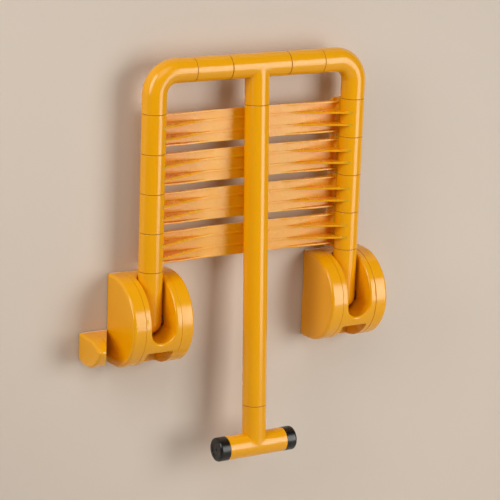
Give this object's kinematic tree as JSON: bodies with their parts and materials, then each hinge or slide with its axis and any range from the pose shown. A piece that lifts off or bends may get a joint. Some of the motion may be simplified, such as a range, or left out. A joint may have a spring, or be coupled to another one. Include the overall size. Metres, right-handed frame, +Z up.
{
  "type": "fold down wall seat",
  "caption": "Fold down wall seat: a U frame of sleeved tube with slats, hinged between round-fronted wall brackets, and a T-footed leg swinging from its front bar.",
  "frame": {"origin": "on the wall plane, midway between the two brackets, at the height of the hinge axis", "axes": "+Z up, -Y out of the wall into the room, +X to the right seen from the room; the seat is folded up against the wall"},
  "size_m": [0.4656, 0.084, 0.5917],
  "materials": {
    "nylon_yellow": "smooth glossy moulded nylon",
    "nylon_orange": "semi-gloss moulded nylon, slightly lighter than the tubes",
    "nylon_natural": "unpainted matt nylon",
    "seam_brown": "matt plastic spacer ring",
    "rubber_black": "smooth black rubber",
    "steel": "plain stainless steel"
  },
  "bodies": {
    "wall_brackets": {"left_wall_yoke": "steel", "left_hinge_bolt": "steel", "left_hinge_nut": "steel", "left_hinge_washers": "steel", "left_bracket_housing": "nylon_yellow", "left_outer_cap": "nylon_yellow", "left_inner_cap": "nylon_yellow", "left_slot_discs": "seam_brown", "right_wall_yoke": "steel", "right_hinge_bolt": "steel", "right_hinge_nut": "steel", "right_hinge_washers": "steel", "right_bracket_housing": "nylon_yellow", "right_outer_cap": "nylon_yellow", "right_inner_cap": "nylon_yellow", "right_slot_discs": "seam_brown", "side_block_base": "nylon_yellow", "side_block_cap": "nylon_yellow"},
    "seat_frame": {"seat_core_tube": "steel", "left_arm_knuckle": "nylon_yellow", "right_arm_knuckle": "nylon_yellow", "left_hinge_bush": "steel", "right_hinge_bush": "steel", "seat_slat_1": "nylon_orange", "seat_slat_2": "nylon_orange", "seat_slat_3": "nylon_orange", "seat_slat_4": "nylon_orange", "left_elbow_sleeve": "nylon_yellow", "right_elbow_sleeve": "nylon_yellow", "left_bar_sleeve": "nylon_yellow", "right_bar_sleeve": "nylon_yellow", "seat_spacer_rings": "seam_brown"},
    "leg": {"leg_top_tee": "nylon_yellow", "leg_hinge_bushes": "nylon_natural", "leg_core_tube": "steel", "leg_sleeve": "nylon_yellow", "foot_tee": "nylon_yellow", "left_foot_cap": "rubber_black", "right_foot_cap": "rubber_black", "leg_spacer_rings": "seam_brown", "leg_fixing_screws": "steel"}
  },
  "joints": [
    {"name": "seat_fold", "type": "hinge", "parent": "wall_brackets", "child": "seat_frame", "pos_m": [0, -0.037, 0], "axis": [1, 0, 0], "range_deg": [0, 90]},
    {"name": "leg_swing", "type": "hinge", "parent": "seat_frame", "child": "leg", "pos_m": [0, -0.037, 0.357], "axis": [-1, 0, 0], "range_deg": [0, 87]}
  ]
}
